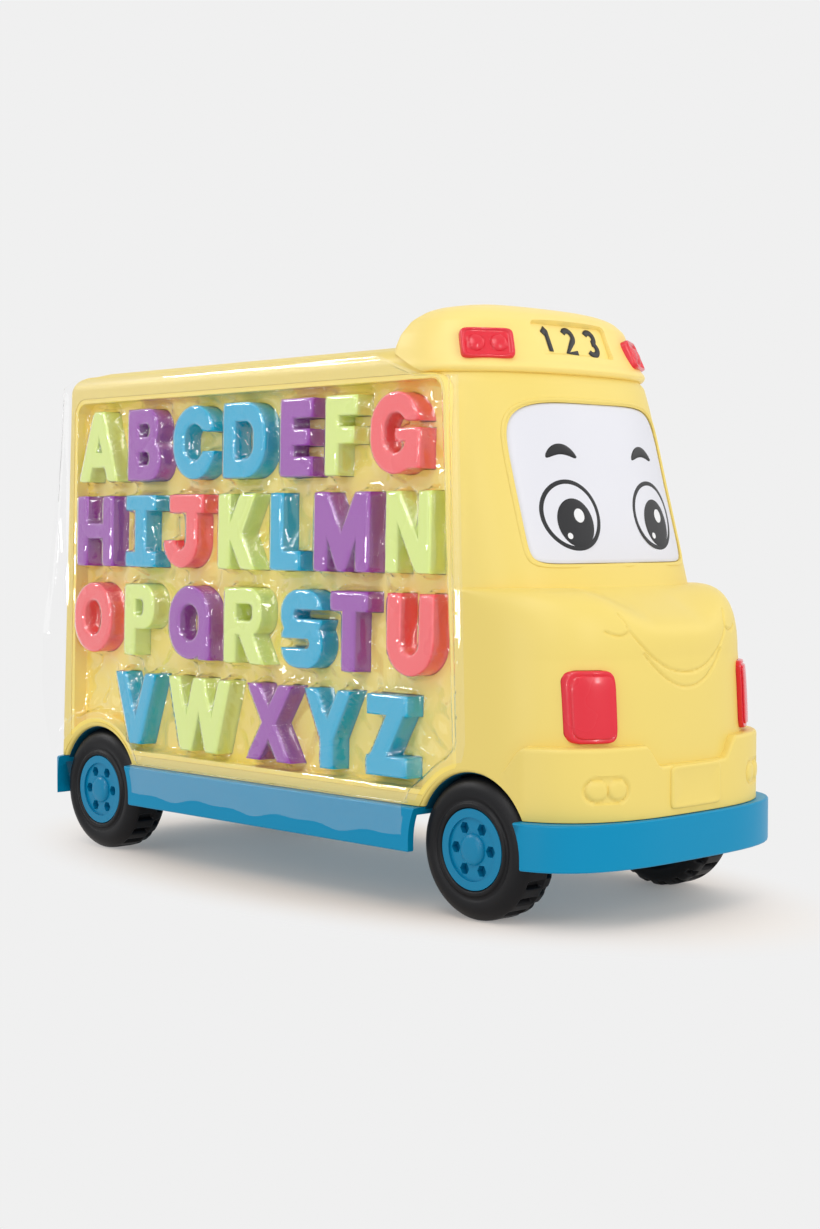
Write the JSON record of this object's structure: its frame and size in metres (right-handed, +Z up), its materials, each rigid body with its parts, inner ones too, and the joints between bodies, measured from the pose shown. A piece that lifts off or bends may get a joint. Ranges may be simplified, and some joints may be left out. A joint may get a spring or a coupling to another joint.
{
  "type": "toy bus",
  "caption": "Toy bus with press-in alphabet letters in a side tray, clear cover over them, sprung headlamp buttons, rolling wheels and a battery box underneath.",
  "frame": {"origin": "centre of the footprint on the ground under the wheels", "axes": "+X forward, +Y to the bus's left, +Z up; the letter side faces -Y"},
  "size_m": [0.338, 0.1394, 0.237],
  "materials": {
    "yellow_shell": "satin moulded plastic",
    "blue_chassis": "satin moulded plastic",
    "white_panel": "smooth printed panel",
    "clear_film": "clear thermoformed sheet",
    "steel": "plated",
    "battery_jacket": "printed jacket",
    "black_plastic": "matt",
    "white_plastic": "matt",
    "silicone": "matt",
    "board": "solder mask",
    "tyre": "matt moulded tyre",
    "red_lens": "gloss",
    "letter_lime": "satin",
    "letter_purple": "satin",
    "letter_blue": "satin",
    "letter_coral": "satin"
  },
  "bodies": {
    "bus": {"body_shell": "yellow_shell", "roof_visor": "yellow_shell", "letter_tray": "yellow_shell", "chassis_base": "blue_chassis", "windscreen_panel": "white_panel", "roof_lamp_right": "red_lens", "roof_lamp_left": "red_lens", "batteries": "battery_jacket", "battery_contacts": "steel", "speaker": "black_plastic", "main_circuit_board": "board", "power_switch_body": "white_plastic", "letter_switch_board": "board", "switch_dome_mat": "silicone", "headlamp_switch_boards": "board", "body_screws": "steel", "tray_screws": "steel"},
    "front_wheelset": {"front_axle": "steel", "hub_front_right": "blue_chassis", "hub_front_left": "blue_chassis", "tyre_front_right": "tyre", "tyre_front_left": "tyre"},
    "rear_wheelset": {"rear_axle": "steel", "hub_rear_right": "blue_chassis", "hub_rear_left": "blue_chassis", "tyre_rear_right": "tyre", "tyre_rear_left": "tyre"},
    "headlamp_right": {"headlamp_button_right": "red_lens"},
    "headlamp_left": {"headlamp_button_left": "red_lens"},
    "power_switch": {"power_switch_knob": "black_plastic"},
    "battery_cover": {"battery_door": "blue_chassis", "battery_door_screw": "steel"},
    "film": {"clear_cover": "clear_film"},
    "letter_a_key": {"letter_a": "letter_lime"},
    "letter_b_key": {"letter_b": "letter_purple"},
    "letter_c_key": {"letter_c": "letter_blue"},
    "letter_d_key": {"letter_d": "letter_blue"},
    "letter_e_key": {"letter_e": "letter_purple"},
    "letter_f_key": {"letter_f": "letter_lime"},
    "letter_g_key": {"letter_g": "letter_coral"},
    "letter_h_key": {"letter_h": "letter_purple"},
    "letter_i_key": {"letter_i": "letter_blue"},
    "letter_j_key": {"letter_j": "letter_coral"},
    "letter_k_key": {"letter_k": "letter_lime"},
    "letter_l_key": {"letter_l": "letter_blue"},
    "letter_m_key": {"letter_m": "letter_purple"},
    "letter_n_key": {"letter_n": "letter_lime"},
    "letter_o_key": {"letter_o": "letter_coral"},
    "letter_p_key": {"letter_p": "letter_lime"},
    "letter_q_key": {"letter_q": "letter_purple"},
    "letter_r_key": {"letter_r": "letter_lime"},
    "letter_s_key": {"letter_s": "letter_blue"},
    "letter_t_key": {"letter_t": "letter_purple"},
    "letter_u_key": {"letter_u": "letter_coral"},
    "letter_v_key": {"letter_v": "letter_blue"},
    "letter_w_key": {"letter_w": "letter_lime"},
    "letter_x_key": {"letter_x": "letter_purple"},
    "letter_y_key": {"letter_y": "letter_blue"},
    "letter_z_key": {"letter_z": "letter_blue"}
  },
  "joints": [
    {"name": "front_axle_turn", "type": "hinge", "parent": "bus", "child": "front_wheelset", "pos_m": [0.111, 0, 0.0275], "axis": [0, 1, 0], "continuous": true},
    {"name": "rear_axle_turn", "type": "hinge", "parent": "bus", "child": "rear_wheelset", "pos_m": [-0.129, 0, 0.0275], "axis": [0, 1, 0], "continuous": true},
    {"name": "headlamp_right_press", "type": "slide", "parent": "bus", "child": "headlamp_right", "axis": [-1, 0, 0], "range_m": [0, 0.002], "stiffness_N_per_m": 500},
    {"name": "headlamp_left_press", "type": "slide", "parent": "bus", "child": "headlamp_left", "axis": [-1, 0, 0], "range_m": [0, 0.002], "stiffness_N_per_m": 500},
    {"name": "power_switch_slide", "type": "slide", "parent": "bus", "child": "power_switch", "axis": [1, 0, 0], "range_m": [0, 0.006]},
    {"name": "battery_cover_lift", "type": "slide", "parent": "bus", "child": "battery_cover", "axis": [0, 0, -1], "range_m": [0, 0.03]},
    {"name": "film_lift", "type": "slide", "parent": "bus", "child": "film", "axis": [0, -0.9997, 0.0244], "range_m": [0, 0.04]},
    {"name": "letter_a_press", "type": "slide", "parent": "bus", "child": "letter_a_key", "axis": [0, 0.9997, -0.0244], "range_m": [0, 0.0012], "stiffness_N_per_m": 400, "deforming": ["switch_dome_mat"]},
    {"name": "letter_b_press", "type": "slide", "parent": "bus", "child": "letter_b_key", "axis": [0, 0.9997, -0.0244], "range_m": [0, 0.0012], "stiffness_N_per_m": 400, "deforming": ["switch_dome_mat"]},
    {"name": "letter_c_press", "type": "slide", "parent": "bus", "child": "letter_c_key", "axis": [0, 0.9997, -0.0244], "range_m": [0, 0.0012], "stiffness_N_per_m": 400, "deforming": ["switch_dome_mat"]},
    {"name": "letter_d_press", "type": "slide", "parent": "bus", "child": "letter_d_key", "axis": [0, 0.9997, -0.0244], "range_m": [0, 0.0012], "stiffness_N_per_m": 400, "deforming": ["switch_dome_mat"]},
    {"name": "letter_e_press", "type": "slide", "parent": "bus", "child": "letter_e_key", "axis": [0, 0.9997, -0.0244], "range_m": [0, 0.0012], "stiffness_N_per_m": 400, "deforming": ["switch_dome_mat"]},
    {"name": "letter_f_press", "type": "slide", "parent": "bus", "child": "letter_f_key", "axis": [0, 0.9997, -0.0244], "range_m": [0, 0.0012], "stiffness_N_per_m": 400, "deforming": ["switch_dome_mat"]},
    {"name": "letter_g_press", "type": "slide", "parent": "bus", "child": "letter_g_key", "axis": [0, 0.9997, -0.0244], "range_m": [0, 0.0012], "stiffness_N_per_m": 400, "deforming": ["switch_dome_mat"]},
    {"name": "letter_h_press", "type": "slide", "parent": "bus", "child": "letter_h_key", "axis": [0, 0.9997, -0.0244], "range_m": [0, 0.0012], "stiffness_N_per_m": 400, "deforming": ["switch_dome_mat"]},
    {"name": "letter_i_press", "type": "slide", "parent": "bus", "child": "letter_i_key", "axis": [0, 0.9997, -0.0244], "range_m": [0, 0.0012], "stiffness_N_per_m": 400, "deforming": ["switch_dome_mat"]},
    {"name": "letter_j_press", "type": "slide", "parent": "bus", "child": "letter_j_key", "axis": [0, 0.9997, -0.0244], "range_m": [0, 0.0012], "stiffness_N_per_m": 400, "deforming": ["switch_dome_mat"]},
    {"name": "letter_k_press", "type": "slide", "parent": "bus", "child": "letter_k_key", "axis": [0, 0.9997, -0.0244], "range_m": [0, 0.0012], "stiffness_N_per_m": 400, "deforming": ["switch_dome_mat"]},
    {"name": "letter_l_press", "type": "slide", "parent": "bus", "child": "letter_l_key", "axis": [0, 0.9997, -0.0244], "range_m": [0, 0.0012], "stiffness_N_per_m": 400, "deforming": ["switch_dome_mat"]},
    {"name": "letter_m_press", "type": "slide", "parent": "bus", "child": "letter_m_key", "axis": [0, 0.9997, -0.0244], "range_m": [0, 0.0012], "stiffness_N_per_m": 400, "deforming": ["switch_dome_mat"]},
    {"name": "letter_n_press", "type": "slide", "parent": "bus", "child": "letter_n_key", "axis": [0, 0.9997, -0.0244], "range_m": [0, 0.0012], "stiffness_N_per_m": 400, "deforming": ["switch_dome_mat"]},
    {"name": "letter_o_press", "type": "slide", "parent": "bus", "child": "letter_o_key", "axis": [0, 0.9997, -0.0244], "range_m": [0, 0.0012], "stiffness_N_per_m": 400, "deforming": ["switch_dome_mat"]},
    {"name": "letter_p_press", "type": "slide", "parent": "bus", "child": "letter_p_key", "axis": [0, 0.9997, -0.0244], "range_m": [0, 0.0012], "stiffness_N_per_m": 400, "deforming": ["switch_dome_mat"]},
    {"name": "letter_q_press", "type": "slide", "parent": "bus", "child": "letter_q_key", "axis": [0, 0.9997, -0.0244], "range_m": [0, 0.0012], "stiffness_N_per_m": 400, "deforming": ["switch_dome_mat"]},
    {"name": "letter_r_press", "type": "slide", "parent": "bus", "child": "letter_r_key", "axis": [0, 0.9997, -0.0244], "range_m": [0, 0.0012], "stiffness_N_per_m": 400, "deforming": ["switch_dome_mat"]},
    {"name": "letter_s_press", "type": "slide", "parent": "bus", "child": "letter_s_key", "axis": [0, 0.9997, -0.0244], "range_m": [0, 0.0012], "stiffness_N_per_m": 400, "deforming": ["switch_dome_mat"]},
    {"name": "letter_t_press", "type": "slide", "parent": "bus", "child": "letter_t_key", "axis": [0, 0.9997, -0.0244], "range_m": [0, 0.0012], "stiffness_N_per_m": 400, "deforming": ["switch_dome_mat"]},
    {"name": "letter_u_press", "type": "slide", "parent": "bus", "child": "letter_u_key", "axis": [0, 0.9997, -0.0244], "range_m": [0, 0.0012], "stiffness_N_per_m": 400, "deforming": ["switch_dome_mat"]},
    {"name": "letter_v_press", "type": "slide", "parent": "bus", "child": "letter_v_key", "axis": [0, 0.9997, -0.0244], "range_m": [0, 0.0012], "stiffness_N_per_m": 400, "deforming": ["switch_dome_mat"]},
    {"name": "letter_w_press", "type": "slide", "parent": "bus", "child": "letter_w_key", "axis": [0, 0.9997, -0.0244], "range_m": [0, 0.0012], "stiffness_N_per_m": 400, "deforming": ["switch_dome_mat"]},
    {"name": "letter_x_press", "type": "slide", "parent": "bus", "child": "letter_x_key", "axis": [0, 0.9997, -0.0244], "range_m": [0, 0.0012], "stiffness_N_per_m": 400, "deforming": ["switch_dome_mat"]},
    {"name": "letter_y_press", "type": "slide", "parent": "bus", "child": "letter_y_key", "axis": [0, 0.9997, -0.0244], "range_m": [0, 0.0012], "stiffness_N_per_m": 400, "deforming": ["switch_dome_mat"]},
    {"name": "letter_z_press", "type": "slide", "parent": "bus", "child": "letter_z_key", "axis": [0, 0.9997, -0.0244], "range_m": [0, 0.0012], "stiffness_N_per_m": 400, "deforming": ["switch_dome_mat"]}
  ]
}
